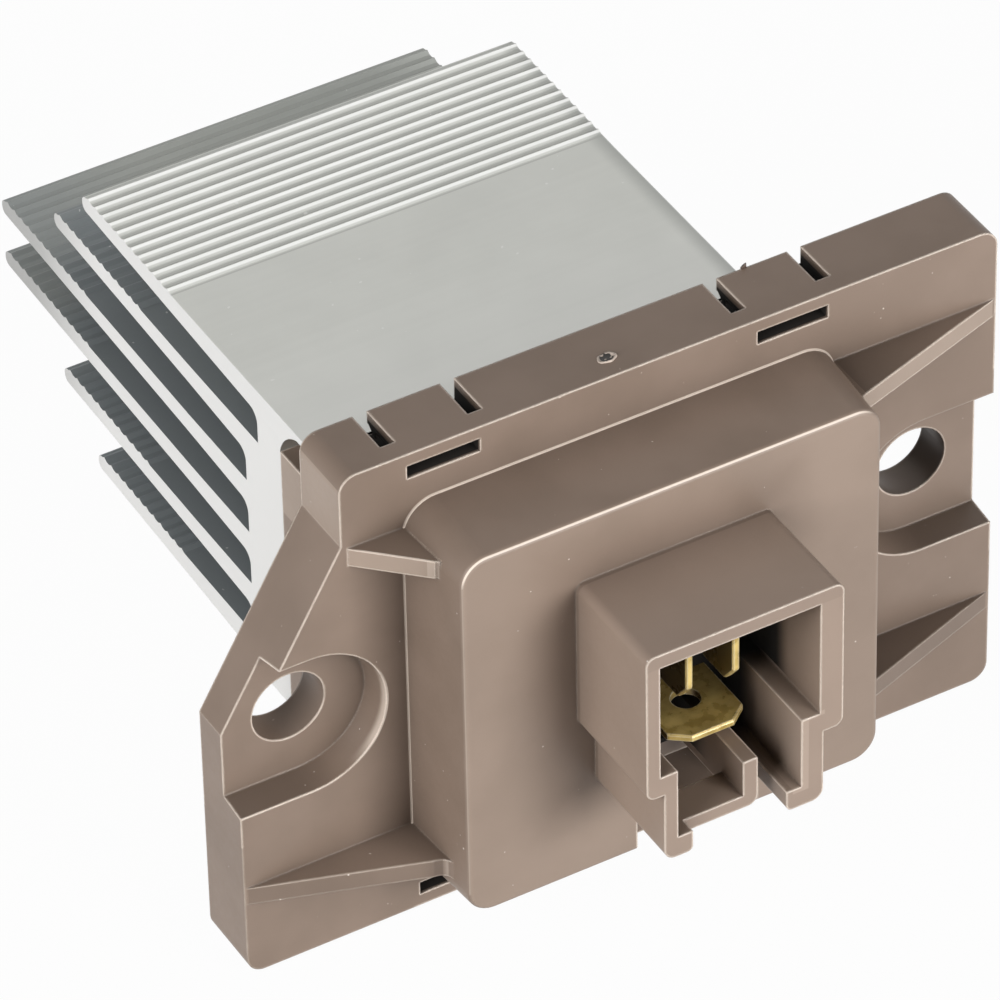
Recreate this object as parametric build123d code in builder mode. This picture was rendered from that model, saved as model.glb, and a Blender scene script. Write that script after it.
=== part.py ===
"""Blower motor resistor: finned heat sink clipped behind a moulded flange with a three-blade socket.

Millimetres, +Z up. X runs along the flange, -Y points out of the socket.
The origin lies on the flange's rear plane, midway between the two screw holes.
"""
import os
from math import radians, tan

from build123d import *

os.makedirs("parts", exist_ok=True)

# flange, seen from the front: X and Z limits, depth and wall
flange_half_length = 31.15
flange_top = 20.8
flange_bottom = -21.1
flange_depth = 5.55
flange_front_wall = 1.65
band_wall = 1.05
shoulder_x = 22.4
shoulder_z = 14.8
ear_corner_z = -0.3
flange_corner_r = 1.4

# screw ears
hole_half_spacing = 25.75
hole_d = 5.8
pocket_x = 25.3
pocket_z = -0.25
pocket_r = 5.68
pocket_floor_t = 3.1
pocket_draft = 9.0

# snap tabs in the top and bottom walls of the band
slot_width = 1.15
slot_inner_x = 10.65
slot_outer_x = 17.6
slot_length = flange_depth - flange_front_wall
slot_depth = 1.9
slot_depth_right = 1.5
window_height = 1.1
tooth_depth = 1.0
tooth_height = 0.6
tooth_rear_gap = 0.2
top_recess_floor_z = 15.7
lip_clearance = 0.05

# raised block on the flange face
block_half_width = 17.5
block_top = 16.4
block_bottom = -17.2
block_height = 7.27
block_taper = 4.0
block_corner_r = 2.6
block_front_fillet = 0.4
block_notch_left = -3.2
block_notch_right = 6.8

# four gusset ribs between the block and the flange face
gusset_t = 1.55
gusset_upper_z = 14.5
gusset_lower_z = -12.9
gusset_rise = 4.35
gusset_reach = 31.0
gusset_short_reach = 21.9
gusset_upper_root_r = 0.25
gusset_lower_root_r = 1.1

# socket shroud
socket_half_width = 8.0
socket_top = 10.4
socket_shoulder_z = -2.6
socket_foot_left = -6.6
socket_foot_right = 6.4
socket_bottom = -8.75
socket_length = 9.5
socket_in_left = -6.9
socket_in_right = 6.1
socket_in_top = 9.2
socket_in_step = -0.85
socket_low_left = -5.5
socket_low_right = 4.6
socket_floor = -7.0
socket_corner_r = 0.7
socket_foot_r = 0.9
socket_foot_end_r = 0.45
latch_bar_corner_r = 0.8
socket_back_t = 1.6
floor_gap_left = -4.3
floor_gap_right = 3.4
floor_gap_depth = 1.3
web_left = 0.6
web_right = 1.8
web_top = -3.9
latch_bar_depth = 3.0
latch_bar_t = 1.1
socket_back_step = 1.2

# collar behind the flange, which carries the heat sink
collar_left = -20.7
collar_right = 13.8
collar_top = 14.45
collar_bottom = -8.6
collar_wall = 1.3
collar_length = 6.1
cavity_left = -18.3
core_side_x = 15.8
core_bottom = -15.3
block_wall = 1.6
block_cavity_left = -16.0

# heat sink extrusion, its fins leaning up a little towards their tips
sink_left = collar_left
sink_width = 35.6
sink_top = 17.7
sink_bottom = -9.2
sink_base_front = collar_length
first_root_y = 9.4
root_y = 11.4
fin_count = 6
fin_pitch = 4.8
fin_lean = 0.027
fin_root_t = 2.1
fin_mid_t = 1.66
fin_mid_y = 20.0
fin_tip_t = 1.25
fin_tip_y = [35.2, 40.0, 48.7, 48.7, 39.9, 35.1]
root_r = 1.1
root_lower_r = 0.3
tip_r = 0.55
rib_count = 12
rib_pitch = 1.08
rib_width = 0.72
rib_height = 0.2
rib_first = 0.95
lip_t = 0.55
lip_cove_z = 14.6
lip_cove_y = 3.6
lip_end_y = 1.2

# socket blades
blade_t = 0.6
blade_w = 6.2
blade_tip_recess = 4.33
blade_tip_chamfer = 1.4
blade_tip_taper = 1.1
blade_bevel = 0.12
blade_hole_d = 2.2
blade_hole_from_tip = 3.75
blade_shoulder = 0.5
blade_shoulder_t = 0.8
blade_tail_w = 2.0
blade_fit = 0.03
blade_left_x = -1.92
blade_right_x = 1.9
blade_pair_z = 3.6
blade_low_x = 0.0
blade_low_z = -2.95

# circuit board and what it carries
board_t = 1.6
board_left = -15.5
board_right = 12.0
board_bottom = -6.8
board_top = 12.6
board_corner_r = 0.8
post_height = 2.4
post_d = 3.4
post_left_x = -13.5
post_right_x = 10.0
post_low_z = -4.8
post_high_z = 10.6
board_screw_d = 1.6
board_screw_head_d = 3.2
board_screw_head_t = 1.2
board_screw_length = 3.2
tail_stick_out = 0.9

# power transistor lying on the heat sink
pad_t = 0.3
pad_margin = 0.9
tab_left = -16.5
tab_length = 15.6
tab_width = 10.0
tab_t = 1.3
body_length = 9.2
body_t = 4.4
lead_pitch = 2.54
lead_w = 0.76
lead_t = 0.5
lead_bend_x = 5.0
lead_depth = 2.65
transistor_z = 2.55
sink_screw_d = 3.0
sink_screw_head_d = 5.4
sink_screw_head_t = 2.0
sink_screw_length = 7.0
sink_screw_from_tab_end = 3.0

# small parts on the board
cap_d = 6.3
cap_height = 7.2
cap_base_t = 0.7
cap_x = 8.2
cap_z = 8.4
diode_x = 8.1
diode_z = 0.2
diode_length = 4.3
diode_width = 2.6
diode_height = 2.1
ic_x = -9.5
ic_z = 8.0
ic_length = 4.9
ic_width = 3.9
ic_height = 1.5
chip_length = 3.2
chip_width = 1.6
chip_height = 0.6
chip_places = [(-11.0, -0.6), (-10.0, -4.4), (-5.6, -4.4)]

# values that follow from the ones above
block_front = flange_depth + block_height
socket_front = block_front + socket_length
socket_back = block_front - socket_back_step
cavity_front = socket_back - socket_back_t
board_front = cavity_front - post_height
board_rear = board_front - board_t
blade_tip = socket_front - blade_tip_recess
tray_top = flange_top - band_wall
tray_bottom = flange_bottom + band_wall
top_recess_roof_z = sink_top + lip_clearance
pad_front_y = sink_base_front - pad_t
tab_front_y = pad_front_y - tab_t
body_front_y = pad_front_y - body_t
body_left = tab_left + tab_length - body_length
body_right = tab_left + tab_length
lead_y = pad_front_y - lead_depth
sink_screw_x = tab_left + sink_screw_from_tab_end
fin_root_z = [sink_top - fin_root_t / 2 - n * fin_pitch for n in range(fin_count)]
first_gap_floor = fin_root_z[1] + fin_root_t / 2
posts = [(x, z) for x in (post_left_x, post_right_x) for z in (post_low_z, post_high_z)]
screwed_posts = [(post_left_x, post_high_z), (post_right_x, post_low_z)]


def fin_profile(root_z, tip_y, start_y):
    """Outline of one tapered fin in Y and Z, with ribs on its upper face near the tip."""
    def face(y, side):
        y = max(y, root_y)
        if y < fin_mid_y:
            thickness = fin_root_t + (fin_mid_t - fin_root_t) * (y - root_y) / (fin_mid_y - root_y)
        else:
            thickness = fin_mid_t + (fin_tip_t - fin_mid_t) * (y - fin_mid_y) / (tip_y - fin_mid_y)
        return root_z + fin_lean * (y - root_y) + side * thickness / 2

    outline = [(start_y, face(start_y, -1)), (start_y, face(start_y, 1)), (fin_mid_y, face(fin_mid_y, 1))]
    for i in reversed(range(rib_count)):
        y = tip_y - rib_first - i * rib_pitch
        outline.append((y - rib_width / 2, face(y - rib_width / 2, 1)))
        outline.append((y, face(y, 1) + rib_height))
        outline.append((y + rib_width / 2, face(y + rib_width / 2, 1)))
    outline += [(tip_y, face(tip_y, 1)), (tip_y, face(tip_y, -1)), (fin_mid_y, face(fin_mid_y, -1))]
    return outline


# HOUSING: flange tray, ears, gussets, block, socket and rear collar in one moulding
with BuildPart() as housing:
    # flange outline: straight right end, shouldered left end
    with BuildSketch(Plane.XZ):
        with BuildLine():
            Polyline(
                (-shoulder_x, flange_top),
                (flange_half_length, flange_top),
                (flange_half_length, flange_bottom),
                (-flange_half_length, flange_bottom),
                (-flange_half_length, ear_corner_z),
                (-shoulder_x, shoulder_z),
                close=True,
            )
        make_face()
        outline = vertices().filter_by(lambda v: abs(v.Y) > shoulder_z + 0.5)
        fillet(outline, flange_corner_r)
    extrude(amount=flange_depth)

    # raised block with drafted sides
    with BuildSketch(Plane.XZ.offset(flange_depth)):
        with Locations((0, (block_top + block_bottom) / 2)):
            RectangleRounded(2 * block_half_width, block_top - block_bottom, block_corner_r)
    extrude(amount=block_height, taper=block_taper)
    front_face = housing.faces().sort_by(Axis.Y)[0]
    fillet(front_face.edges(), block_front_fillet)

    # gusset ribs, long ones towards both ends and a short one at the shoulder
    gussets = (
        (-gusset_short_reach, gusset_upper_z, gusset_upper_root_r),
        (gusset_reach, gusset_upper_z, gusset_upper_root_r),
        (-gusset_reach, gusset_lower_z, gusset_lower_root_r),
        (gusset_reach, gusset_lower_z, gusset_lower_root_r),
    )
    for reach, top_z, root_round in gussets:
        side = 1 if reach > 0 else -1
        root = side * (block_half_width - 1.0)
        foot_y = 0.5 - flange_depth
        crest_y = -flange_depth - gusset_rise
        wall_x = block_half_width - (gusset_rise + root_round) * tan(radians(block_taper))
        with BuildSketch(Plane.XY.offset(top_z - gusset_t)):
            with BuildLine():
                slope = Line((reach, -flange_depth), (side * (wall_x + root_round), crest_y))
                blend = ThreePointArc(
                    slope @ 1,
                    (side * (wall_x + 0.29 * root_round), crest_y - 0.29 * root_round),
                    (side * wall_x, crest_y - root_round),
                )
                Polyline(blend @ 1, (root, crest_y - root_round), (root, foot_y), (reach, foot_y), slope @ 0)
            make_face()
        extrude(amount=gusset_t)

    # socket shroud: a wide upper box over a narrower foot
    with BuildSketch(Plane.XZ.offset(socket_back)):
        with Locations((0, (socket_top + socket_shoulder_z) / 2)):
            RectangleRounded(2 * socket_half_width, socket_top - socket_shoulder_z, socket_corner_r)
        with BuildSketch(mode=Mode.PRIVATE) as foot:
            with Locations(((socket_foot_left + socket_foot_right) / 2, (socket_bottom + socket_top) / 2)):
                RectangleRounded(socket_foot_right - socket_foot_left, socket_top - socket_bottom, socket_foot_r)
        add(foot.sketch)
    extrude(amount=socket_front - socket_back)

    # collar that reaches back to the heat sink
    with BuildSketch(Plane.XZ.offset(-collar_length)):
        with Locations(((collar_left + collar_right) / 2, (collar_top + collar_bottom) / 2)):
            Rectangle(collar_right - collar_left, collar_top - collar_bottom)
    extrude(amount=collar_length + 0.5)

    # socket opening with its stepped lower part
    with BuildSketch(Plane.XZ.offset(socket_back)):
        with Locations(((socket_in_left + socket_in_right) / 2, (socket_in_top + socket_in_step) / 2)):
            Rectangle(socket_in_right - socket_in_left, socket_in_top - socket_in_step)
        with Locations(((socket_low_left + socket_low_right) / 2, (socket_in_top + socket_floor) / 2)):
            Rectangle(socket_low_right - socket_low_left, socket_in_top - socket_floor)
    extrude(amount=socket_length + socket_back_step, mode=Mode.SUBTRACT)

    # keyway web standing on the socket floor
    with BuildSketch(Plane.XZ.offset(socket_back)):
        with Locations(((web_left + web_right) / 2, (web_top + socket_floor) / 2 - 0.25)):
            Rectangle(web_right - web_left, web_top - socket_floor + 0.5)
    extrude(amount=socket_front - floor_gap_depth - socket_back)

    # floor openings: front gap, latch window and the slot beside the web
    floor_cuts = (
        (floor_gap_left, floor_gap_right, socket_front - floor_gap_depth, socket_front, socket_floor),
        (web_right, floor_gap_right, block_front, socket_front, socket_floor),
        (
            socket_low_left,
            web_left,
            block_front,
            socket_front - floor_gap_depth - latch_bar_depth,
            socket_floor,
        ),
        (floor_gap_left, floor_gap_right, block_front, socket_front, socket_floor - latch_bar_t),
    )
    for left, right, rear, front, top_z in floor_cuts:
        with BuildSketch(Plane.XZ.offset(rear)):
            with Locations(((left + right) / 2, (top_z + socket_bottom - 1) / 2)):
                Rectangle(right - left, top_z - socket_bottom + 1)
        extrude(amount=front - rear, mode=Mode.SUBTRACT)

    # rounded ends of the two feet, and the web's lower corner running into the latch bar
    along_y = housing.edges().filter_by(Axis.Y)
    foot_ends = along_y.filter_by(
        lambda e: abs(e.center().Z - socket_bottom) < 0.01
        and min(abs(e.center().X - floor_gap_left), abs(e.center().X - floor_gap_right)) < 0.01
    )
    fillet(foot_ends, socket_foot_end_r)
    bar_corner = housing.edges().filter_by(Axis.Y).filter_by(
        lambda e: abs(e.center().Z - socket_floor + latch_bar_t) < 0.01 and abs(e.center().X - web_right) < 0.01
    )
    fillet(bar_corner, latch_bar_corner_r)

    # rear cavity for the electronics: through the collar, then narrower inside the block
    inner_right = collar_right - collar_wall
    inner_top = collar_top - collar_wall
    inner_bottom = collar_bottom + collar_wall
    with BuildSketch(Plane.XZ.offset(-collar_length)):
        with Locations(((cavity_left + inner_right) / 2, (inner_top + inner_bottom) / 2)):
            Rectangle(inner_right - cavity_left, inner_top - inner_bottom)
    extrude(amount=collar_length + slot_length, mode=Mode.SUBTRACT)
    with BuildSketch(Plane.XZ.offset(slot_length)):
        with Locations(((block_cavity_left + inner_right) / 2, (inner_top + inner_bottom) / 2)):
            Rectangle(inner_right - block_cavity_left, inner_top - inner_bottom)
    extrude(amount=cavity_front - slot_length, mode=Mode.SUBTRACT)

    # recesses behind the top and bottom walls, and the cored space behind the block's lower part
    with BuildSketch(Plane.XZ):
        with Locations((0, (top_recess_roof_z + top_recess_floor_z) / 2)):
            Rectangle(2 * (lip_clearance - sink_left), top_recess_roof_z - top_recess_floor_z)
        with Locations((0, (tray_bottom + collar_bottom) / 2)):
            Rectangle(2 * slot_outer_x + 2 * slot_width, collar_bottom - tray_bottom)
    extrude(amount=slot_length, mode=Mode.SUBTRACT)
    with BuildSketch(Plane.XZ.offset(slot_length)):
        with Locations((0, (core_bottom + collar_bottom) / 2)):
            Rectangle(2 * core_side_x, collar_bottom - core_bottom)
    extrude(amount=block_front - block_wall - slot_length, mode=Mode.SUBTRACT)

    # notch in the block's lower front edge, below the socket
    with BuildSketch(Plane.XZ.offset(block_front - block_wall - 0.1)):
        with Locations(((block_notch_left + block_notch_right) / 2, (socket_bottom + block_bottom) / 2)):
            Rectangle(block_notch_right - block_notch_left, socket_bottom - block_bottom)
    extrude(amount=block_wall + 0.2, mode=Mode.SUBTRACT)

    # ear pockets with drafted walls, open at the ends, and the screw holes
    for side in (-1, 1):
        with BuildSketch(Plane.XZ.offset(pocket_floor_t)):
            with Locations((side * pocket_x, pocket_z)):
                Circle(pocket_r)
            with Locations((side * (pocket_x + pocket_r), pocket_z)):
                Rectangle(2 * pocket_r, 2 * pocket_r)
        extrude(amount=flange_depth - pocket_floor_t, taper=-pocket_draft, mode=Mode.SUBTRACT)
        with BuildSketch(Plane.XZ):
            with Locations((side * hole_half_spacing, 0)):
                Circle(hole_d / 2)
        extrude(amount=flange_depth, mode=Mode.SUBTRACT)

    # slots that free the snap tabs, the last one on the right a little shallower
    with BuildSketch(Plane.XZ):
        for side in (-1, 1):
            for slot_x in (slot_inner_x, slot_outer_x):
                rightmost = side * slot_x == slot_outer_x
                with Locations((side * slot_x, flange_top)):
                    Rectangle(slot_width, 2 * (slot_depth_right if rightmost else slot_depth))
                with Locations((side * slot_x, flange_bottom)):
                    Rectangle(slot_width, 2 * slot_depth)
    extrude(amount=slot_length, mode=Mode.SUBTRACT)

    # clearance under each tab, which runs through the front wall as a window
    snap_width = slot_outer_x - slot_inner_x - slot_width
    snap_centre_x = (slot_inner_x + slot_outer_x) / 2
    with BuildSketch(Plane.XZ):
        for side in (-1, 1):
            for centre_z in (tray_top - window_height / 2, tray_bottom + window_height / 2):
                with Locations((side * snap_centre_x, centre_z)):
                    Rectangle(snap_width, window_height)
    extrude(amount=flange_depth, mode=Mode.SUBTRACT)

    # snap teeth inside the tabs
    for side in (-1, 1):
        for wall_z, down in ((tray_top, -1), (tray_bottom, 1)):
            with BuildSketch(Plane.YZ.offset(side * snap_centre_x - snap_width / 2)):
                with BuildLine():
                    Polyline(
                        (-tooth_rear_gap, wall_z - down * 0.3),
                        (-tooth_rear_gap, wall_z),
                        (-tooth_rear_gap - 0.7 * tooth_depth, wall_z + down * tooth_height),
                        (-tooth_rear_gap - tooth_depth, wall_z + down * tooth_height),
                        (-tooth_rear_gap - tooth_depth, wall_z - down * 0.3),
                        close=True,
                    )
                make_face()
            extrude(amount=snap_width)

    # posts for the circuit board, and the pilot holes of the two screws
    for place in posts:
        with BuildSketch(Plane.XZ.offset(board_front)):
            with Locations(place):
                Circle(post_d / 2)
        extrude(amount=post_height + 0.2)
    for place in screwed_posts:
        with BuildSketch(Plane.XZ.offset(board_front)):
            with Locations(place):
                Circle(board_screw_d / 2 + 0.01)
        extrude(amount=post_height, mode=Mode.SUBTRACT)

    # blade slots through the socket's rear wall
    with BuildSketch(Plane.XZ.offset(cavity_front - 0.5)):
        for x in (blade_left_x, blade_right_x):
            with Locations((x, blade_pair_z)):
                Rectangle(blade_t + 2 * blade_fit, blade_w + 2 * blade_fit)
        with Locations((blade_low_x, blade_low_z)):
            Rectangle(blade_w + 2 * blade_fit, blade_t + 2 * blade_fit)
    extrude(amount=socket_back_t + 1.0, mode=Mode.SUBTRACT)
housing.part.label = "housing"

# HEAT SINK: one extrusion along X, six ribbed fins of stepped length on a thick base
with BuildPart() as heat_sink:
    with BuildSketch(Plane.YZ.offset(sink_left)):
        with BuildLine():
            base_line = Polyline(
                (sink_base_front, lip_cove_z),
                (sink_base_front, sink_bottom),
                (root_y, sink_bottom),
                (root_y, first_gap_floor),
                (first_root_y, first_gap_floor),
                (first_root_y, sink_top),
                (lip_end_y, sink_top),
                (lip_end_y, sink_top - lip_t),
                (lip_cove_y, sink_top - lip_t),
            )
            cove_middle = (
                lip_cove_y + 0.62 * (sink_base_front - lip_cove_y),
                lip_cove_z + 0.62 * (sink_top - lip_t - lip_cove_z),
            )
            ThreePointArc(base_line @ 1, cove_middle, base_line @ 0)
        make_face()
        for i, (root_z, tip_y) in enumerate(zip(fin_root_z, fin_tip_y)):
            start_y = first_root_y - 0.5 if i == 0 else root_y - 0.5
            with BuildLine():
                Polyline(*fin_profile(root_z, tip_y, start_y), close=True)
            make_face()
        tips = vertices().filter_by(lambda v: any(abs(v.X - y) < 0.01 for y in fin_tip_y))
        fillet(tips, tip_r)
        root_line = vertices().filter_by(lambda v: abs(v.X - root_y) < 0.01)
        under_fins = [v for v in root_line if any(0 < z - v.Y < fin_root_t for z in fin_root_z[1:5])]
        over_fins = [v for v in root_line if any(0 < v.Y - z < fin_root_t for z in fin_root_z[2:])]
        under_fins += vertices().filter_by(lambda v: abs(v.X - first_root_y) < 0.01 and v.Y > first_gap_floor + 0.5)
        fillet(under_fins, root_r)
        fillet(over_fins, root_lower_r)
    extrude(amount=sink_width)
    with BuildSketch(Plane.XZ.offset(-sink_base_front)):
        with Locations((sink_screw_x, transistor_z)):
            Circle(sink_screw_d / 2 + 0.01)
    extrude(amount=-(sink_screw_length - pad_t - tab_t + 0.5), mode=Mode.SUBTRACT)
heat_sink.part.label = "heat_sink"

# LOWER BLADE: lies flat, with a chamfered tip, a lock hole and a stop shoulder
with BuildPart() as terminal_lower:
    with BuildSketch(Plane.XY.offset(blade_low_z - blade_t / 2)):
        with BuildLine():
            Polyline(
                (blade_low_x - blade_w / 2 + blade_tip_chamfer, -blade_tip),
                (blade_low_x + blade_w / 2 - blade_tip_chamfer, -blade_tip),
                (blade_low_x + blade_w / 2, -blade_tip + blade_tip_taper),
                (blade_low_x + blade_w / 2, -cavity_front),
                (blade_low_x - blade_w / 2, -cavity_front),
                (blade_low_x - blade_w / 2, -blade_tip + blade_tip_taper),
                close=True,
            )
        make_face()
        with Locations((blade_low_x, -cavity_front + blade_shoulder_t / 2)):
            Rectangle(blade_w + 2 * blade_shoulder, blade_shoulder_t)
        tail_length = cavity_front - board_rear + tail_stick_out
        with Locations((blade_low_x, -cavity_front + tail_length / 2)):
            Rectangle(blade_tail_w, tail_length)
        with Locations((blade_low_x, -blade_tip + blade_hole_from_tip)):
            Circle(blade_hole_d / 2, mode=Mode.SUBTRACT)
    extrude(amount=blade_t)
    tip_edges = terminal_lower.edges().filter_by(
        lambda e: e.center().Y < -blade_tip + 0.6 * blade_tip_taper and abs(e.center().Z - blade_low_z) > 0.4 * blade_t
    )
    chamfer(tip_edges, blade_bevel)
terminal_lower.part.label = "terminal_lower"

# UPPER BLADES: stand upright side by side, each with the same tip, hole and shoulder
with BuildPart() as terminal_upper_left:
    with BuildSketch(Plane.YZ.offset(blade_left_x - blade_t / 2)):
        with BuildLine():
            Polyline(
                (-blade_tip, blade_pair_z - blade_w / 2 + blade_tip_chamfer),
                (-blade_tip, blade_pair_z + blade_w / 2 - blade_tip_chamfer),
                (-blade_tip + blade_tip_taper, blade_pair_z + blade_w / 2),
                (-cavity_front, blade_pair_z + blade_w / 2),
                (-cavity_front, blade_pair_z - blade_w / 2),
                (-blade_tip + blade_tip_taper, blade_pair_z - blade_w / 2),
                close=True,
            )
        make_face()
        with Locations((-cavity_front + blade_shoulder_t / 2, blade_pair_z)):
            Rectangle(blade_shoulder_t, blade_w + 2 * blade_shoulder)
        tail_length = cavity_front - board_rear + tail_stick_out
        with Locations((-cavity_front + tail_length / 2, blade_pair_z)):
            Rectangle(tail_length, blade_tail_w)
        with Locations((-blade_tip + blade_hole_from_tip, blade_pair_z)):
            Circle(blade_hole_d / 2, mode=Mode.SUBTRACT)
    extrude(amount=blade_t)
    tip_edges = terminal_upper_left.edges().filter_by(
        lambda e: e.center().Y < -blade_tip + 0.6 * blade_tip_taper and abs(e.center().X - blade_left_x) > 0.4 * blade_t
    )
    chamfer(tip_edges, blade_bevel)
terminal_upper_left.part.label = "terminal_upper_left"

with BuildPart() as terminal_upper_right:
    add(terminal_upper_left.part.moved(Location((blade_right_x - blade_left_x, 0, 0))))
terminal_upper_right.part.label = "terminal_upper_right"

# CIRCUIT BOARD: screwed to two of the four posts, drilled for blade tails and transistor leads
with BuildPart() as circuit_board:
    with BuildSketch(Plane.XZ.offset(board_rear)):
        with Locations(((board_left + board_right) / 2, (board_bottom + board_top) / 2)):
            RectangleRounded(board_right - board_left, board_top - board_bottom, board_corner_r)
        with Locations(*screwed_posts):
            Circle(board_screw_d / 2 + 0.02, mode=Mode.SUBTRACT)
        for x in (blade_left_x, blade_right_x):
            with Locations((x, blade_pair_z)):
                Rectangle(blade_t + 0.1, blade_tail_w + 0.1, mode=Mode.SUBTRACT)
        with Locations((blade_low_x, blade_low_z)):
            Rectangle(blade_tail_w + 0.1, blade_t + 0.1, mode=Mode.SUBTRACT)
        for n in (-1, 0, 1):
            with Locations((lead_bend_x, transistor_z + n * lead_pitch)):
                Rectangle(lead_t + 0.1, lead_w + 0.1, mode=Mode.SUBTRACT)
    extrude(amount=board_t)
circuit_board.part.label = "circuit_board"

# BOARD SCREWS: two small pan heads on the rear face of the board
with BuildPart() as board_screws:
    for place in screwed_posts:
        with BuildSketch(Plane.XZ.offset(board_rear - board_screw_head_t)):
            with Locations(place):
                Circle(board_screw_head_d / 2)
        extrude(amount=board_screw_head_t)
        with BuildSketch(Plane.XZ.offset(board_rear)):
            with Locations(place):
                Circle(board_screw_d / 2)
        extrude(amount=board_screw_length)
board_screws.part.label = "board_screws"

# THERMAL PAD: electrical insulator between the transistor tab and the heat sink
with BuildPart() as thermal_pad:
    with BuildSketch(Plane.XZ.offset(-sink_base_front)):
        with Locations((tab_left + tab_length / 2, transistor_z)):
            Rectangle(tab_length + 2 * pad_margin, tab_width + 2 * pad_margin)
        with Locations((sink_screw_x, transistor_z)):
            Circle(sink_screw_d / 2 + 0.01, mode=Mode.SUBTRACT)
    extrude(amount=pad_t)
thermal_pad.part.label = "thermal_pad"

# TRANSISTOR TAB: metal plate with the screw hole, its right half under the body
with BuildPart() as transistor_tab:
    with BuildSketch(Plane.XZ.offset(-pad_front_y)):
        with Locations((tab_left + tab_length / 2, transistor_z)):
            Rectangle(tab_length, tab_width)
        with Locations((sink_screw_x, transistor_z)):
            Circle(sink_screw_d / 2 + 0.01, mode=Mode.SUBTRACT)
    extrude(amount=tab_t)
transistor_tab.part.label = "transistor_tab"

# TRANSISTOR BODY: moulded block on the tab, its front edges drafted
with BuildPart() as transistor_body:
    with BuildSketch(Plane.XZ.offset(-tab_front_y)):
        with Locations(((body_left + body_right) / 2, transistor_z)):
            Rectangle(body_length, tab_width)
    extrude(amount=body_t - tab_t)
    chamfer(transistor_body.faces().sort_by(Axis.Y)[0].edges(), 0.4)
    for n in (-1, 0, 1):
        with BuildSketch(Plane.YZ.offset(body_right - 1.0)):
            with Locations((lead_y, transistor_z + n * lead_pitch)):
                Rectangle(lead_t, lead_w)
        extrude(amount=1.0, mode=Mode.SUBTRACT)
transistor_body.part.label = "transistor_body"

# TRANSISTOR LEADS: three strips out of the body, bent once towards the board
with BuildPart() as transistor_leads:
    for n in (-1, 0, 1):
        with BuildSketch(Plane.XY.offset(transistor_z + n * lead_pitch - lead_w / 2)):
            with BuildLine():
                Polyline(
                    (body_right - 1.0, lead_y + lead_t / 2),
                    (lead_bend_x + lead_t / 2, lead_y + lead_t / 2),
                    (lead_bend_x + lead_t / 2, -board_front - tail_stick_out),
                    (lead_bend_x - lead_t / 2, -board_front - tail_stick_out),
                    (lead_bend_x - lead_t / 2, lead_y - lead_t / 2),
                    (body_right - 1.0, lead_y - lead_t / 2),
                    close=True,
                )
            make_face()
        extrude(amount=lead_w)
transistor_leads.part.label = "transistor_leads"

# TRANSISTOR SCREW: clamps the tab and the pad to the heat sink
with BuildPart() as transistor_screw:
    with BuildSketch(Plane.XZ.offset(-tab_front_y)):
        with Locations((sink_screw_x, transistor_z)):
            Circle(sink_screw_head_d / 2)
    extrude(amount=sink_screw_head_t)
    fillet(transistor_screw.faces().sort_by(Axis.Y)[0].edges(), 0.6)
    with BuildSketch(Plane.XZ.offset(-tab_front_y)):
        with Locations((sink_screw_x, transistor_z)):
            Circle(sink_screw_d / 2)
    extrude(amount=-sink_screw_length)
transistor_screw.part.label = "transistor_screw"

# CAPACITOR: can on a small square base, standing on the rear face of the board
with BuildPart() as capacitor_base:
    with BuildSketch(Plane.XZ.offset(board_rear)):
        with Locations((cap_x, cap_z)):
            Rectangle(cap_d + 0.2, cap_d + 0.2)
        chamfer(vertices().group_by(Axis.X)[0], 0.8)
    extrude(amount=-cap_base_t)
capacitor_base.part.label = "capacitor_base"

with BuildPart() as capacitor_can:
    with BuildSketch(Plane.XZ.offset(board_rear - cap_base_t)):
        with Locations((cap_x, cap_z)):
            Circle(cap_d / 2)
    extrude(amount=-(cap_height - cap_base_t))
    fillet(capacitor_can.faces().sort_by(Axis.Y)[-1].edges(), 0.5)
capacitor_can.part.label = "capacitor_can"

# DIODE: moulded block between two flat end pieces
with BuildPart() as diode_body:
    with BuildSketch(Plane.XZ.offset(board_rear)):
        with Locations((diode_x, diode_z)):
            Rectangle(diode_length - 0.6, diode_width)
    extrude(amount=-diode_height)
    chamfer(diode_body.faces().sort_by(Axis.Y)[-1].edges(), 0.3)
diode_body.part.label = "diode_body"

with BuildPart() as diode_ends:
    for side in (-1, 1):
        with BuildSketch(Plane.XZ.offset(board_rear)):
            with Locations((diode_x + side * (diode_length - 0.3) / 2, diode_z)):
                Rectangle(0.3, 0.6 * diode_width)
        extrude(amount=-0.5 * diode_height)
diode_ends.part.label = "diode_ends"

# CONTROL CHIP: flat package with four legs on each long side
with BuildPart() as control_chip:
    with BuildSketch(Plane.XZ.offset(board_rear - 0.1)):
        with Locations((ic_x, ic_z)):
            Rectangle(ic_length, ic_width)
    extrude(amount=-(ic_height - 0.1))
    chamfer(control_chip.faces().sort_by(Axis.Y)[-1].edges(), 0.25)
control_chip.part.label = "control_chip"

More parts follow.
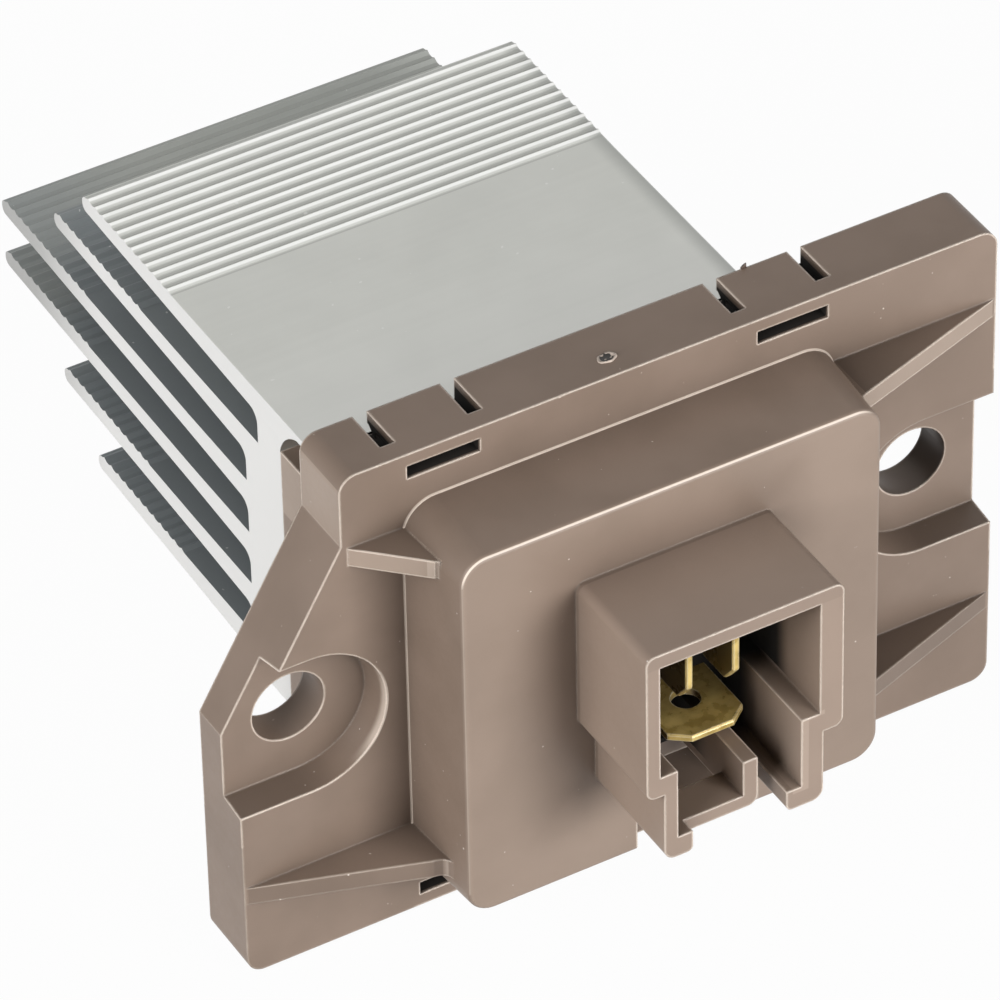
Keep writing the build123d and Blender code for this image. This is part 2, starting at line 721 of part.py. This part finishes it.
with BuildPart() as control_chip_legs:
    for side in (-1, 1):
        for n in range(4):
            leg_x = ic_x + (n - 1.5) * 1.27
            with BuildSketch(Plane.YZ.offset(leg_x - 0.2)):
                with BuildLine():
                    Polyline(
                        (-board_rear + 0.75, ic_z + side * ic_width / 2),
                        (-board_rear + 0.75, ic_z + side * (ic_width / 2 + 0.4)),
                        (-board_rear + 0.2, ic_z + side * (ic_width / 2 + 0.6)),
                        (-board_rear + 0.2, ic_z + side * (ic_width / 2 + 1.0)),
                        (-board_rear, ic_z + side * (ic_width / 2 + 1.0)),
                        (-board_rear, ic_z + side * (ic_width / 2 + 0.45)),
                        (-board_rear + 0.55, ic_z + side * (ic_width / 2 + 0.2)),
                        (-board_rear + 0.55, ic_z + side * ic_width / 2),
                        close=True,
                    )
                make_face()
            extrude(amount=0.4)
control_chip_legs.part.label = "control_chip_legs"

# CHIP RESISTORS: three small blocks on the rear face of the board
with BuildPart() as chip_resistors:
    with BuildSketch(Plane.XZ.offset(board_rear)):
        with Locations(*chip_places):
            Rectangle(chip_length, chip_width)
    extrude(amount=-chip_height)
chip_resistors.part.label = "chip_resistors"

# SOLDER JOINTS: a cone round each blade tail at the rear and each lead at the front of the board
with BuildPart() as solder_joints:
    for x, z, wide, tall in (
        (blade_left_x, blade_pair_z, blade_t, blade_tail_w),
        (blade_right_x, blade_pair_z, blade_t, blade_tail_w),
        (blade_low_x, blade_low_z, blade_tail_w, blade_t),
    ):
        with BuildSketch(Plane.XZ.offset(board_rear)):
            with Locations((x, z)):
                Rectangle(wide + 1.2, tall + 1.2)
                Rectangle(wide, tall, mode=Mode.SUBTRACT)
        extrude(amount=-0.25)
    for n in (-1, 0, 1):
        with BuildSketch(Plane.XZ.offset(board_front)):
            with Locations((lead_bend_x, transistor_z + n * lead_pitch)):
                Circle(0.95)
                Rectangle(lead_t, lead_w, mode=Mode.SUBTRACT)
        extrude(amount=0.25)
solder_joints.part.label = "solder_joints"

export_step(housing.part, "parts/housing.step")
export_step(heat_sink.part, "parts/heat_sink.step")
export_step(terminal_lower.part, "parts/terminal_lower.step")
export_step(terminal_upper_left.part, "parts/terminal_upper_left.step")
export_step(terminal_upper_right.part, "parts/terminal_upper_right.step")
export_step(circuit_board.part, "parts/circuit_board.step")
export_step(board_screws.part, "parts/board_screws.step")
export_step(thermal_pad.part, "parts/thermal_pad.step")
export_step(transistor_tab.part, "parts/transistor_tab.step")
export_step(transistor_body.part, "parts/transistor_body.step")
export_step(transistor_leads.part, "parts/transistor_leads.step")
export_step(transistor_screw.part, "parts/transistor_screw.step")
export_step(capacitor_base.part, "parts/capacitor_base.step")
export_step(capacitor_can.part, "parts/capacitor_can.step")
export_step(diode_body.part, "parts/diode_body.step")
export_step(diode_ends.part, "parts/diode_ends.step")
export_step(control_chip.part, "parts/control_chip.step")
export_step(control_chip_legs.part, "parts/control_chip_legs.step")
export_step(chip_resistors.part, "parts/chip_resistors.step")
export_step(solder_joints.part, "parts/solder_joints.step")
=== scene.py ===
import math

import bmesh
import bpy
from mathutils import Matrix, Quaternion, Vector


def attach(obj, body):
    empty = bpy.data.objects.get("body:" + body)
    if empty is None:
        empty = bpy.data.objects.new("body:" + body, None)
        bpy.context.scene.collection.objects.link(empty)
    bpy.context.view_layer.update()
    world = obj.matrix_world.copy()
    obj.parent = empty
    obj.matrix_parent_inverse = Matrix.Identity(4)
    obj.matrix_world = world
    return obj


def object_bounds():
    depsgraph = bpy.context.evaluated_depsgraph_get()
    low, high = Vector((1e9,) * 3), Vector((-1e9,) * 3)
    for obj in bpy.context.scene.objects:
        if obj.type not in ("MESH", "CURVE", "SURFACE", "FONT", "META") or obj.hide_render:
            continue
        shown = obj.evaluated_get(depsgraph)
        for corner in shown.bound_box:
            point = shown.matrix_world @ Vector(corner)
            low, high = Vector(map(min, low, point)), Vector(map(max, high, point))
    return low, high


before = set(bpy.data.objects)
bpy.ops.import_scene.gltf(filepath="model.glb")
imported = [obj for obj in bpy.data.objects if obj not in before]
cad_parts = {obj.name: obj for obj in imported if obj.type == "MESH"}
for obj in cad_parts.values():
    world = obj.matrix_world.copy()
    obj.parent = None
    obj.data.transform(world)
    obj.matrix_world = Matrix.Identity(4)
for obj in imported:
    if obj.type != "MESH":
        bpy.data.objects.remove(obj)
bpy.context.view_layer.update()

MM = 0.001

# Studio camera: a long lens to the front left of the part, looking down on it.
# Its angles, distance and aim were fitted to the straight edges of the flange and the fins.
view_azimuth = math.radians(29.4)
view_elevation = math.radians(39.9)
view_roll = math.radians(-1.29)
view_distance = 604.2 * MM
view_aim = Vector((-3.68, 5.21, 3.26)) * MM
frame_px = 1000
focal_px = 8468
towards = Vector((
    math.sin(view_azimuth) * math.cos(view_elevation),
    math.cos(view_azimuth) * math.cos(view_elevation),
    -math.sin(view_elevation),
))
camera_data = bpy.data.cameras.new("studio_camera")
camera = bpy.data.objects.new("studio_camera", camera_data)
bpy.context.scene.collection.objects.link(camera)
camera_data.sensor_width = 36
camera_data.lens = camera_data.sensor_width * focal_px / frame_px
camera_data.clip_start = 0.01
camera_data.clip_end = 20
camera.rotation_mode = "QUATERNION"
camera.rotation_quaternion = towards.to_track_quat("-Z", "Y") @ Quaternion((0, 0, 1), view_roll)
camera.location = view_aim - towards * view_distance
bpy.context.scene.camera = camera
bpy.context.scene.view_settings.view_transform = "Standard"


# Floor: a pale paper sheet under the part, just below the flange, which reaches lowest.
# Seen directly or in the metal it is near white by its own glow, so hardly any shadow shows on it.
class Wire:
    """A socket of a shader tree; arithmetic on it adds Math nodes."""

    def __init__(self, paint, socket):
        self.paint = paint
        self.socket = socket

    def maths(self, operation, a, b=0.0):
        return self.paint.node("ShaderNodeMath", {"operation": operation}, {0: a, 1: b})

    def __add__(self, other):
        return self.maths("ADD", self, other)

    def __radd__(self, other):
        return self.maths("ADD", other, self)

    def __sub__(self, other):
        return self.maths("SUBTRACT", self, other)

    def __rsub__(self, other):
        return self.maths("SUBTRACT", other, self)

    def __mul__(self, other):
        return self.maths("MULTIPLY", self, other)

    def __rmul__(self, other):
        return self.maths("MULTIPLY", other, self)

    def __truediv__(self, other):
        return self.maths("DIVIDE", self, other)

    def __lt__(self, other):
        return self.maths("LESS_THAN", self, other)

    def __gt__(self, other):
        return self.maths("GREATER_THAN", self, other)

    def __abs__(self):
        return self.maths("ABSOLUTE", self)

    def fraction(self):
        return self.maths("FRACT", self)

    def over(self, other):
        """The larger of two values."""
        return self.maths("MAXIMUM", self, other)


class Paint:
    """A shader tree under construction, with one method that adds every kind of node."""

    def __init__(self, name, owner=None):
        self.owner = owner or bpy.data.materials.new(name)
        self.owner.use_nodes = True
        self.tree = self.owner.node_tree
        self.tree.nodes.clear()

    def node(self, kind, settings=None, sockets=None, output=0):
        made = self.tree.nodes.new(kind)
        for key, value in (settings or {}).items():
            setattr(made, key, value)
        for key, value in (sockets or {}).items():
            if isinstance(value, Wire):
                self.tree.links.new(value.socket, made.inputs[key])
            else:
                made.inputs[key].default_value = value
        return Wire(self, made.outputs[output]) if made.outputs else None

    def backdrop(self):
        """1 for rays from the camera, from gloss and through glass, 0 for light on the part."""
        rays = [
            self.node("ShaderNodeLightPath", output=name)
            for name in ("Is Camera Ray", "Is Glossy Ray", "Is Transmission Ray")
        ]
        return rays[0].over(rays[1]).over(rays[2])


floor_drop = 0.3 * MM
floor_half = 1.5
floor_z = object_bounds()[0].z - floor_drop
floor_mesh = bpy.data.meshes.new("floor")
floor_mesh.from_pydata(
    [(x * floor_half, y * floor_half, floor_z) for x, y in ((-1, -1), (1, -1), (1, 1), (-1, 1))],
    [],
    [(0, 1, 2, 3)],
)
floor = bpy.data.objects.new("floor", floor_mesh)
bpy.context.scene.collection.objects.link(floor)
paper = Paint("pale_paper")
paper_grey = (0.6, 0.6, 0.6, 1)
own_glow = 0.97
white = (1, 1, 1, 1)
lit = paper.node("ShaderNodeBsdfDiffuse", None, {"Color": paper_grey})
glow = paper.node("ShaderNodeEmission", None, {"Color": white, "Strength": 1.0})
sheet = paper.node("ShaderNodeMixShader", None, {0: own_glow * paper.backdrop(), 1: lit, 2: glow})
paper.node("ShaderNodeOutputMaterial", None, {"Surface": sheet})
floor_mesh.materials.append(paper.owner)

# Light: two soft boxes, one at the left and one low in front on the right, a weak one higher up,
# and a white room whose own light on the part is slight.
room = bpy.data.worlds.new("white_room")
bpy.context.scene.world = room
sky = Paint("white_room", room)
room_light = 0.03
seen_light = 0.95
air = sky.node(
    "ShaderNodeBackground", None, {"Color": white, "Strength": room_light + seen_light * sky.backdrop()}
)
sky.node("ShaderNodeOutputWorld", None, {"Surface": air})


def lamp(name, azimuth, elevation, distance, size, watts):
    """A square soft box that faces the part; azimuth 0 is in front, positive towards the left."""
    data = bpy.data.lights.new(name, "AREA")
    data.size = size
    data.energy = watts
    light = bpy.data.objects.new(name, data)
    bpy.context.scene.collection.objects.link(light)
    a, e = math.radians(azimuth), math.radians(elevation)
    spot = Vector((-math.sin(a) * math.cos(e), -math.cos(a) * math.cos(e), math.sin(e)))
    light.location = spot * distance
    light.rotation_mode = "QUATERNION"
    light.rotation_quaternion = (-spot).to_track_quat("-Z", "Y")


lamp("left_box", 74, 24, 0.8, 0.5, 5.7)
lamp("front_box", -20, 13, 0.8, 0.4, 5.9)
lamp("top_box", -30, 46, 0.8, 0.2, 0.35)


# Housing: flange, block and socket in one moulding of brown glass-filled plastic, satin.
# Fine fibres and a cloudy flow show in the skin; its edges and lips carry painted highlights, and its
# corners and hollows painted shade.
# Much of its light and shade is painted by place, to match one view; it doesn't follow the lamps.
def place(paint, scale=(1, 1, 1)):
    """The part's own coordinates in millimetres, times a scale for each axis."""
    spot = paint.node("ShaderNodeTexCoord", output="Object")
    return paint.node("ShaderNodeMapping", None, {"Vector": spot, "Scale": tuple(s / MM for s in scale)})


def axes(paint, vector):
    """The three parts of a vector."""
    apart = paint.node("ShaderNodeSeparateXYZ", None, {0: vector})
    return [Wire(paint, apart.socket.node.outputs[axis]) for axis in "XYZ"]


def noise(paint, scale, detail=2.0, stretch=(1, 1, 1), roughness=0.5):
    """Noise from 0 to 1 with features about 1 / scale millimetres across."""
    return paint.node(
        "ShaderNodeTexNoise",
        None,
        {"Vector": place(paint, stretch), "Scale": scale, "Detail": detail, "Roughness": roughness},
    )


def tint(paint, share, first, second):
    """A colour between two colours."""
    return paint.node("ShaderNodeMix", {"data_type": "RGBA"}, {0: share, 6: first, 7: second}, output=2)


def ramp(paint, value, low, high):
    """0 below low, 1 above high, smooth between."""
    return paint.node(
        "ShaderNodeMapRange", {"interpolation_type": "SMOOTHSTEP"}, {0: value, 1: low, 2: high}
    )


def between(value, low, high):
    """1 inside a range, 0 outside."""
    return (value > low) * (value < high)


bevel_samples = 4
openness_samples = 5


def rounded(paint, radius):
    """The surface normal with every sharp edge rounded off."""
    return paint.node("ShaderNodeBevel", {"samples": bevel_samples}, {"Radius": radius})


def edges(paint, radius, near_sky):
    """1 on outer edges, 0 on flat faces and in corners."""
    flat = paint.node("ShaderNodeNewGeometry", output="Normal")
    turn = paint.node(
        "ShaderNodeVectorMath",
        {"operation": "DOT_PRODUCT"},
        {0: flat, 1: rounded(paint, radius)},
        output="Value",
    )
    return ramp(paint, 1 - turn, 0.01, 0.12) * ramp(paint, near_sky, 0.72, 0.92)


def openness(paint, reach):
    """1 where a face lies open, towards 0 in a corner or a hollow of the same piece."""
    return paint.node(
        "ShaderNodeAmbientOcclusion",
        {"samples": openness_samples, "only_local": True},
        {"Distance": reach},
        output="AO",
    )


def span(paint, first, second):
    """The length of two offsets at right angles."""
    return paint.node("ShaderNodeMath", {"operation": "SQRT"}, {0: first * first + second * second})


def finish(paint, **sockets):
    """Closes the tree with one surface shader and gives the material."""
    named = {key.replace("_", " "): value for key, value in sockets.items()}
    shader = paint.node("ShaderNodeBsdfPrincipled", None, named)
    paint.node("ShaderNodeOutputMaterial", None, {"Surface": shader})
    return paint.owner


def dress(names, material):
    """Gives CAD nodes a finish in place of their packed one."""
    for name in names:
        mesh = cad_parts[name].data
        mesh.materials.clear()
        mesh.materials.append(material)


def bumped(paint, height, distance, normal=None):
    """A normal with fine relief, laid over another normal if one is given."""
    sockets = {"Height": height, "Distance": distance, "Strength": 1.0}
    if normal:
        sockets["Normal"] = normal
    return paint.node("ShaderNodeBump", None, sockets)


plastic = Paint("brown_glass_filled_plastic")
x, y, z = axes(plastic, place(plastic))
side, front, top = axes(plastic, plastic.node("ShaderNodeNewGeometry", output="Normal"))
grain = noise(plastic, 2.2, 3)
specks = ramp(plastic, noise(plastic, 2.6, 1, (1, 1, 1), 0.4), 0.81, 0.83)
cloud = ramp(plastic, noise(plastic, 0.13, 3), 0.32, 0.68)
# Painted light: front faces lighter towards the right, mixed into the cloudy flow of the skin.
to_right = ramp(plastic, x, -28.0, 24.0) - 0.4
facing_front = 1 - ramp(plastic, front, -0.7, -0.3)
flow_and_side_light = 0.26 + 0.4 * cloud + 0.4 * to_right * facing_front

# Painted shade: hollows painted almost black, behind the slots, the windows and the socket's mouth, and
# behind the flange.
slot_x, window_x, slot_half = 10.65, 17.6, 0.59
socket_x, socket_z = (-7.3, 6.5), (-0.6, 9.5)
low_x, low_z = (-5.9, 5.2), (-7.4, -1.0)
under_tab = between(abs(z), 18.45, 20.1) * between(y, -5.3, -0.1) * (abs(x) < 19.0)
near_slot = (abs(abs(x) - slot_x) < slot_half) + (abs(abs(x) - window_x) < slot_half)
in_slot = near_slot * (y > -3.95) * (1 - ramp(plastic, abs(z), 19.0, 20.6))
wide_part = between(x, *socket_x) * between(z, *socket_z)
ledge = between(x, *socket_x) * between(z, low_z[1], socket_z[0])
low_part = ledge + between(x, *low_x) * between(z, *low_z)
in_socket = wide_part * ramp(plastic, y, -18.3, -16.3) + low_part * ramp(plastic, y, -16.8, -13.8)
behind_flange = (abs(x) < 18.25) * (abs(z) < 17.75) * between(y, -5.5, 0.5)
shade = (1 - 0.9 * under_tab) * (1 - 0.985 * in_socket) * (1 - 0.94 * in_slot) * (1 - 0.9 * behind_flange)

# Painted highlights on outer edges, and painted shade in corners and hollows, found from the shape
# itself.
near_sky = openness(plastic, 1.1 * MM)
open_sky = openness(plastic, 5.0 * MM)
corner = 1 - ramp(plastic, near_sky, 0.35, 0.62)
hollow = 1 - ramp(plastic, open_sky, 0.22, 0.62)
nook = 1 - ramp(plastic, open_sky, 0.5, 0.94)
faint_edge = ((z < -9.0) * (abs(x) > 17.6)).over(between(z, 3.5, 8.0) * (x > 17.6))
# Painted highlight on outer edges, patchy in strength and weaker in places on the ears.
highlight_patchiness = 0.55 + 0.9 * noise(plastic, 0.9, 2)
rim = edges(plastic, 0.26 * MM, near_sky) * highlight_patchiness * (1 - 0.6 * faint_edge)

# Painted light: lighter patches, placed by position.
ahead = y < -5.6
from_socket = (abs(x + 0.4) - 7.5).over(abs(z - 1.5) - 9.5)
open_field = between(y, -13.2, -12.7) * (front < -0.8) * ramp(plastic, from_socket, 0.0, 5.0)
upper_gusset = between(z, 12.9, 14.6) * ahead * (abs(x) > 17.3) * (abs(top) < 0.3)
lit_wall = low_part * (x > 3.9) * (y < -14.0)
band_end = (x < -20.0) * (side < -0.97) * (z > 9.0)
pale = (0.12 * open_field).over(0.3 * upper_gusset).over(0.35 * lit_wall).over(0.3 * band_end)

# Painted shade: darker patches, placed by position.
step_floor = ramp(plastic, top, 0.75, 0.97) * ramp(plastic, abs(x), 21.5, 26.5)
step_wall = between(y, -5.5, -3.15) * (abs(x) > 18.2) * (abs(z) < 9.0) * step_floor
around_hole = (abs(abs(x) - 25.75) < 3.2) * (abs(z) < 3.2)
right_bore = between(y, -3.05, 0.1) * around_hole * (x > 0.0) * (abs(front) < 0.5)
low_gusset = between(z, -14.6, -12.9) * ahead * (abs(x) > 17.6) * (abs(top) < 0.3)
gusset_top = ahead * (top > 0.8) * (1 - ramp(plastic, x, 18.0, 30.0)) * (x > 17.6)
socket_brow = (y < -22.1) * (z > 9.25) * (front < -0.8)
dark = (0.6 * step_wall).over(0.3 * low_gusset).over(0.7 * right_bore).over(0.55 * gusset_top)
dark = dark.over(0.3 * socket_brow)

# Painted highlights: bright lines placed by position, on the block's foot, its upper fillet and the left
# pocket's lip.
out_x, out_z = (abs(x) - 14.9).over(0.0), (abs(z + 0.4) - 14.2).over(0.0)
off_block = span(plastic, out_x, out_z) - 2.6
foot_line = between(y, -5.68, -5.5) * (abs(off_block) < 0.11)
fillet = ramp(plastic, front, -0.9, -0.8) * (1 - ramp(plastic, front, -0.66, -0.5))
glint = ramp(plastic, top - 0.45 * side, 0.2, 0.6) * fillet * between(y, -12.9, -9.5)
from_axis = span(plastic, abs(x) - 25.3, z + 0.25)
lip_ends = ramp(plastic, z, -5.6, -3.4) * (1 - ramp(plastic, z, 0.0, 3.5)) * between(x, -24.5, 0.0)
pocket_lip = between(from_axis, 5.8, 6.25) * (1 - ramp(plastic, y, -5.35, -4.75)) * lip_ends
lines = (rim + 0.4 * pocket_lip).over((0.35 + 0.35 * top) * foot_line).over(0.7 * glint)

# Over the brown, in turn: painted light, painted shade, painted light on the socket ahead of the block's
# front, fibre specks, painted shade in corners and hollows, and painted highlights.
brown = tint(plastic, flow_and_side_light, (0.198, 0.144, 0.109, 1), (0.285, 0.212, 0.167, 1))
for share, colour in (
    (pale, (0.62, 0.50, 0.41, 1)),
    (dark, (0.08, 0.058, 0.044, 1)),
    (0.45 * (y < -13.2), (0.40, 0.305, 0.245, 1)),
    (0.7 * specks, (0.9, 0.82, 0.75, 1)),
    (0.35 * corner, (0.10, 0.072, 0.055, 1)),
    ((0.36 * nook).over(0.8 * hollow), (0.06, 0.043, 0.033, 1)),
    (lines, (1.0, 0.87, 0.75, 1)),
):
    brown = tint(plastic, share, brown, colour)
brown = tint(plastic, shade, (0.004, 0.0035, 0.003, 1), brown)
dress(
    ["housing"],
    finish(
        plastic,
        Base_Color=brown,
        Roughness=0.36 + 0.14 * grain - 0.15 * rim + 0.5 * (1 - shade),
        Specular_IOR_Level=0.4,
        Normal=bumped(plastic, grain, 0.004 * MM, rounded(plastic, 0.2 * MM)),
    ),
)

# Gate scar on the flange's top: a little crater left where the sprue was broken off,
# with a torn lip; and a burr of flash that stands on the rear edge of a snap tab.
flange_top = 20.8


def scar(name, centre, radius, height, seed):
    """A ring of torn plastic, higher on one side, lying on the flange's top face."""
    steps = 20
    rings = (
        (1.0, -0.05, 0.0),
        (0.92, 0.012, 0.7),
        (0.8, 0.012, 1.0),
        (0.68, 0.012, 0.5),
        (0.6, 0.012, 0.0),
    )
    mesh = bmesh.new()
    loops = []
    for share, seat, lift in rings:
        loop = []
        for i in range(steps):
            turn = 2 * math.pi * i / steps
            tear = 1 + 0.1 * math.sin(2 * turn + seed) + 0.06 * math.sin(5 * turn + 2 * seed)
            lip = 0.55 + 0.45 * math.cos(turn + 0.9)
            spot = (
                centre[0] + radius * share * tear * math.cos(turn),
                centre[1] + 0.85 * radius * share * tear * math.sin(turn),
                flange_top + seat + height * lift * lip,
            )
            loop.append(mesh.verts.new(Vector(spot) * MM))
        loops.append(loop)
    for outer, inner in zip(loops, loops[1:]):
        for i in range(steps):
            j = (i + 1) % steps
            mesh.faces.new((outer[i], outer[j], inner[j], inner[i]))
    mesh.faces.new(loops[-1])
    mesh.faces.new(reversed(loops[0]))
    data = bpy.data.meshes.new(name)
    mesh.to_mesh(data)
    mesh.free()
    data.shade_smooth()
    piece = bpy.data.objects.new(name, data)
    bpy.context.scene.collection.objects.link(piece)
    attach(piece, "root")
    return piece


torn = Paint("torn_plastic")
tx, ty = axes(torn, place(torn))[:2]
scar_x, scar_y, scar_r = 0.1, -3.62, 0.74
from_middle = (tx - scar_x) * (tx - scar_x) + (ty - scar_y) * (ty - scar_y)
pit_r, lip_r = 0.6 * scar_r, 0.78 * scar_r
# Painted shade: the pit's middle is near black, broken by pale shards.
pit = 1 - ramp(torn, from_middle, pit_r * pit_r, lip_r * lip_r)
shard = ramp(torn, noise(torn, 2.6, 1), 0.56, 0.6)
mark = tint(torn, noise(torn, 3.0, 3), (0.26, 0.20, 0.16, 1), (0.80, 0.69, 0.60, 1))
mark = tint(torn, pit * (1 - shard), mark, (0.012, 0.009, 0.007, 1))
torn_finish = finish(torn, Base_Color=mark, Roughness=0.4 + 0.2 * noise(torn, 4.0))
gate_scar = scar("gate_scar", (scar_x, scar_y), scar_r, 0.16, 1.3)
gate_scar.data.materials.append(torn_finish)
flash_burr = scar("flash_burr", (13.49, 0.05), 0.24, 0.42, 0.4)
flash_brown = (0.1, 0.07, 0.055, 1)
flash_burr.data.materials.append(finish(Paint("flash_brown"), Base_Color=flash_brown, Roughness=0.45))

# Heat sink: one aluminium extrusion drawn along X and sawn to length.
# The top is satin, the faces between the fins are dull and painted in shade, the sawn ends pale and matt.
# Painted highlights on the rib crests and edges, painted light towards the front, painted shade in the
# rib valleys, at the right edge and in the dark strip at the collar.
metal = Paint("extruded_aluminium")
x, y, z = axes(metal, place(metal))
across = axes(metal, metal.node("ShaderNodeNewGeometry", output="Normal"))[0]
draw_line = noise(metal, 1.0, 3, (0.02, 1.6, 1.6))
cloud = noise(metal, 0.14, 3)
frost = noise(metal, 1.1, 4)
speck = ramp(metal, noise(metal, 1.7, 1, (1, 1, 1), 0.4), 0.79, 0.81)
sawn = ramp(metal, abs(across), 0.8, 0.95)
lower = (1 - ramp(metal, z, 15.6, 15.9)) * ramp(metal, y, 6.0, 6.6)
first_crest = 34.25
rib_pitch = 1.08
pitches_ahead = 20
wave = ((y - first_crest + pitches_ahead * rib_pitch) / rib_pitch).fraction()
ribbed = between(y, first_crest - 11.6 * rib_pitch, first_crest + 0.5) * (z > 16.0)
crest = ramp(metal, wave, 0.74, 0.86) * (1 - ramp(metal, wave, 0.96, 1.0)) * ribbed
valley = between(wave, 0.1, 0.55) * ribbed
skin = tint(metal, 0.25 * draw_line + 0.75 * cloud, (0.55, 0.555, 0.52, 1), (0.68, 0.685, 0.645, 1))
# Painted light: the top lighter towards the front.
skin = tint(metal, 0.3 * (1 - ramp(metal, y, 1.0, 16.0)), skin, (0.90, 0.90, 0.87, 1))
# Painted shade: darker at the right edge.
skin = tint(metal, 0.5 * ramp(metal, x, 13.3, 15.0), skin, (0.22, 0.23, 0.22, 1))
# Painted shade in the rib valleys, and painted highlights, patchy in strength, on the rib crests.
skin = tint(metal, 0.65 * valley, skin, (0.42, 0.425, 0.40, 1))
crest_highlight_patchiness = 0.35 + 0.8 * noise(metal, 0.45, 1, (0.01, 1, 0.01))
skin = tint(metal, crest_highlight_patchiness * crest, skin, (0.95, 0.95, 0.93, 1))
# Painted shade on the faces between the fins, with painted light on the far fins.
far_fin = ramp(metal, y, 37.0, 43.0) * (0.5 + 0.5 * ramp(metal, x, -21.0, -8.0))
gap_grey = tint(metal, far_fin, (0.25, 0.272, 0.28, 1), (0.40, 0.41, 0.385, 1))
skin = tint(metal, lower, skin, gap_grey)
skin = tint(metal, 0.5 * speck, skin, (0.8, 0.8, 0.78, 1))
# The sawn ends darker towards the fin tips.
darker_to_tips = ramp(metal, y, 32.0, 46.0) * (0.6 + 0.4 * cloud)
saw_face = tint(metal, darker_to_tips, (0.80, 0.795, 0.78, 1), (0.38, 0.38, 0.37, 1))
skin = tint(metal, sawn, skin, saw_face)
# Painted highlights on the outer edges.
edge_highlight = edges(metal, 0.15 * MM, openness(metal, 0.6 * MM))
skin = tint(metal, 0.5 * edge_highlight * (1 - sawn) * (1 - lower), skin, (0.9, 0.9, 0.88, 1))
# Painted shade: the strip closed in by the collar, near black.
closed_in = (y < 1.25).over((y < 2.8) * (z < 17.6)) * (1 - sawn)
skin = tint(metal, closed_in, skin, (0.02, 0.018, 0.016, 1))
dress(
    ["heat_sink"],
    finish(
        metal,
        Base_Color=skin,
        Metallic=0.55 - 0.3 * sawn,
        Roughness=0.36 + 0.12 * frost + 0.22 * lower + 0.3 * closed_in,
        Normal=bumped(metal, draw_line, 0.002 * MM),
    ),
)

# Blades: stamped brass, tarnished on the faces, bright where the die sheared and coined the edges, with
# painted highlight there too; painted shade darkens them deeper in the socket and on their upright faces.
# They are pushed through the socket's rear wall up to a shoulder.
brass = Paint("stamped_brass")
tarnish = noise(brass, 0.8, 4)
stain = ramp(brass, noise(brass, 0.3, 2), 0.4, 0.75)
y = axes(brass, place(brass))[1]
across = axes(brass, brass.node("ShaderNodeNewGeometry", output="Normal"))[0]
# Sheared and coined edges, bright as bare brass and with painted highlight.
sheared_and_highlight = edges(brass, 0.15 * MM, openness(brass, 0.6 * MM))
gold = tint(brass, ramp(brass, tarnish, 0.35, 0.65), (0.55, 0.38, 0.10, 1), (0.88, 0.66, 0.23, 1))
# Painted shade: darker deeper in the socket.
gold = tint(brass, 0.6 * ramp(brass, y, -16.4, -14.0), gold, (0.20, 0.14, 0.05, 1))
gold = tint(brass, 0.45 * stain, gold, (0.26, 0.17, 0.05, 1))
# Painted shade on the upright faces.
gold = tint(brass, 0.85 * ramp(brass, abs(across), 0.7, 0.9), gold, (0.12, 0.08, 0.03, 1))
gold = tint(brass, 0.9 * sheared_and_highlight, gold, (1.0, 0.92, 0.66, 1))
dress(
    ["terminal_lower", "terminal_upper_left", "terminal_upper_right"],
    finish(
        brass,
        Base_Color=gold,
        Metallic=0.3,
        Roughness=0.2 + 0.16 * tarnish,
        Normal=bumped(brass, tarnish, 0.004 * MM, rounded(brass, 0.12 * MM)),
    ),
)


# Circuit board and the pieces on it: green laminate, black resin bodies, tinned legs.
# The collar and the heat sink close them in; they show only when the part is taken apart.
def drifting(name, dark, light, roughness, metallic=0.0, scale=1.0):
    """A finish whose colour drifts between two tones."""
    paint = Paint(name)
    drift = noise(paint, scale, 3)
    return finish(
        paint,
        Base_Color=tint(paint, drift, (*dark, 1), (*light, 1)),
        Roughness=roughness + 0.1 * drift,
        Metallic=metallic,
    )


dress(["circuit_board"], drifting("green_laminate", (0.01, 0.07, 0.03), (0.015, 0.1, 0.045), 0.35))
dress(
    ["transistor_body", "capacitor_base", "diode_body", "control_chip", "chip_resistors"],
    drifting("black_resin", (0.012, 0.012, 0.012), (0.02, 0.02, 0.02), 0.5),
)
dress(
    ["transistor_tab", "transistor_leads", "diode_ends", "control_chip_legs", "solder_joints"],
    drifting("tin_plate", (0.6, 0.6, 0.6), (0.75, 0.75, 0.75), 0.3, 1.0),
)
dress(
    ["transistor_screw", "board_screws"],
    drifting("zinc_plate", (0.5, 0.5, 0.5), (0.62, 0.62, 0.6), 0.3, 1.0),
)
dress(["thermal_pad"], drifting("grey_silicone", (0.3, 0.31, 0.32), (0.36, 0.37, 0.38), 0.6))
dress(["capacitor_can"], drifting("can_aluminium", (0.7, 0.71, 0.73), (0.8, 0.81, 0.83), 0.25, 1.0))
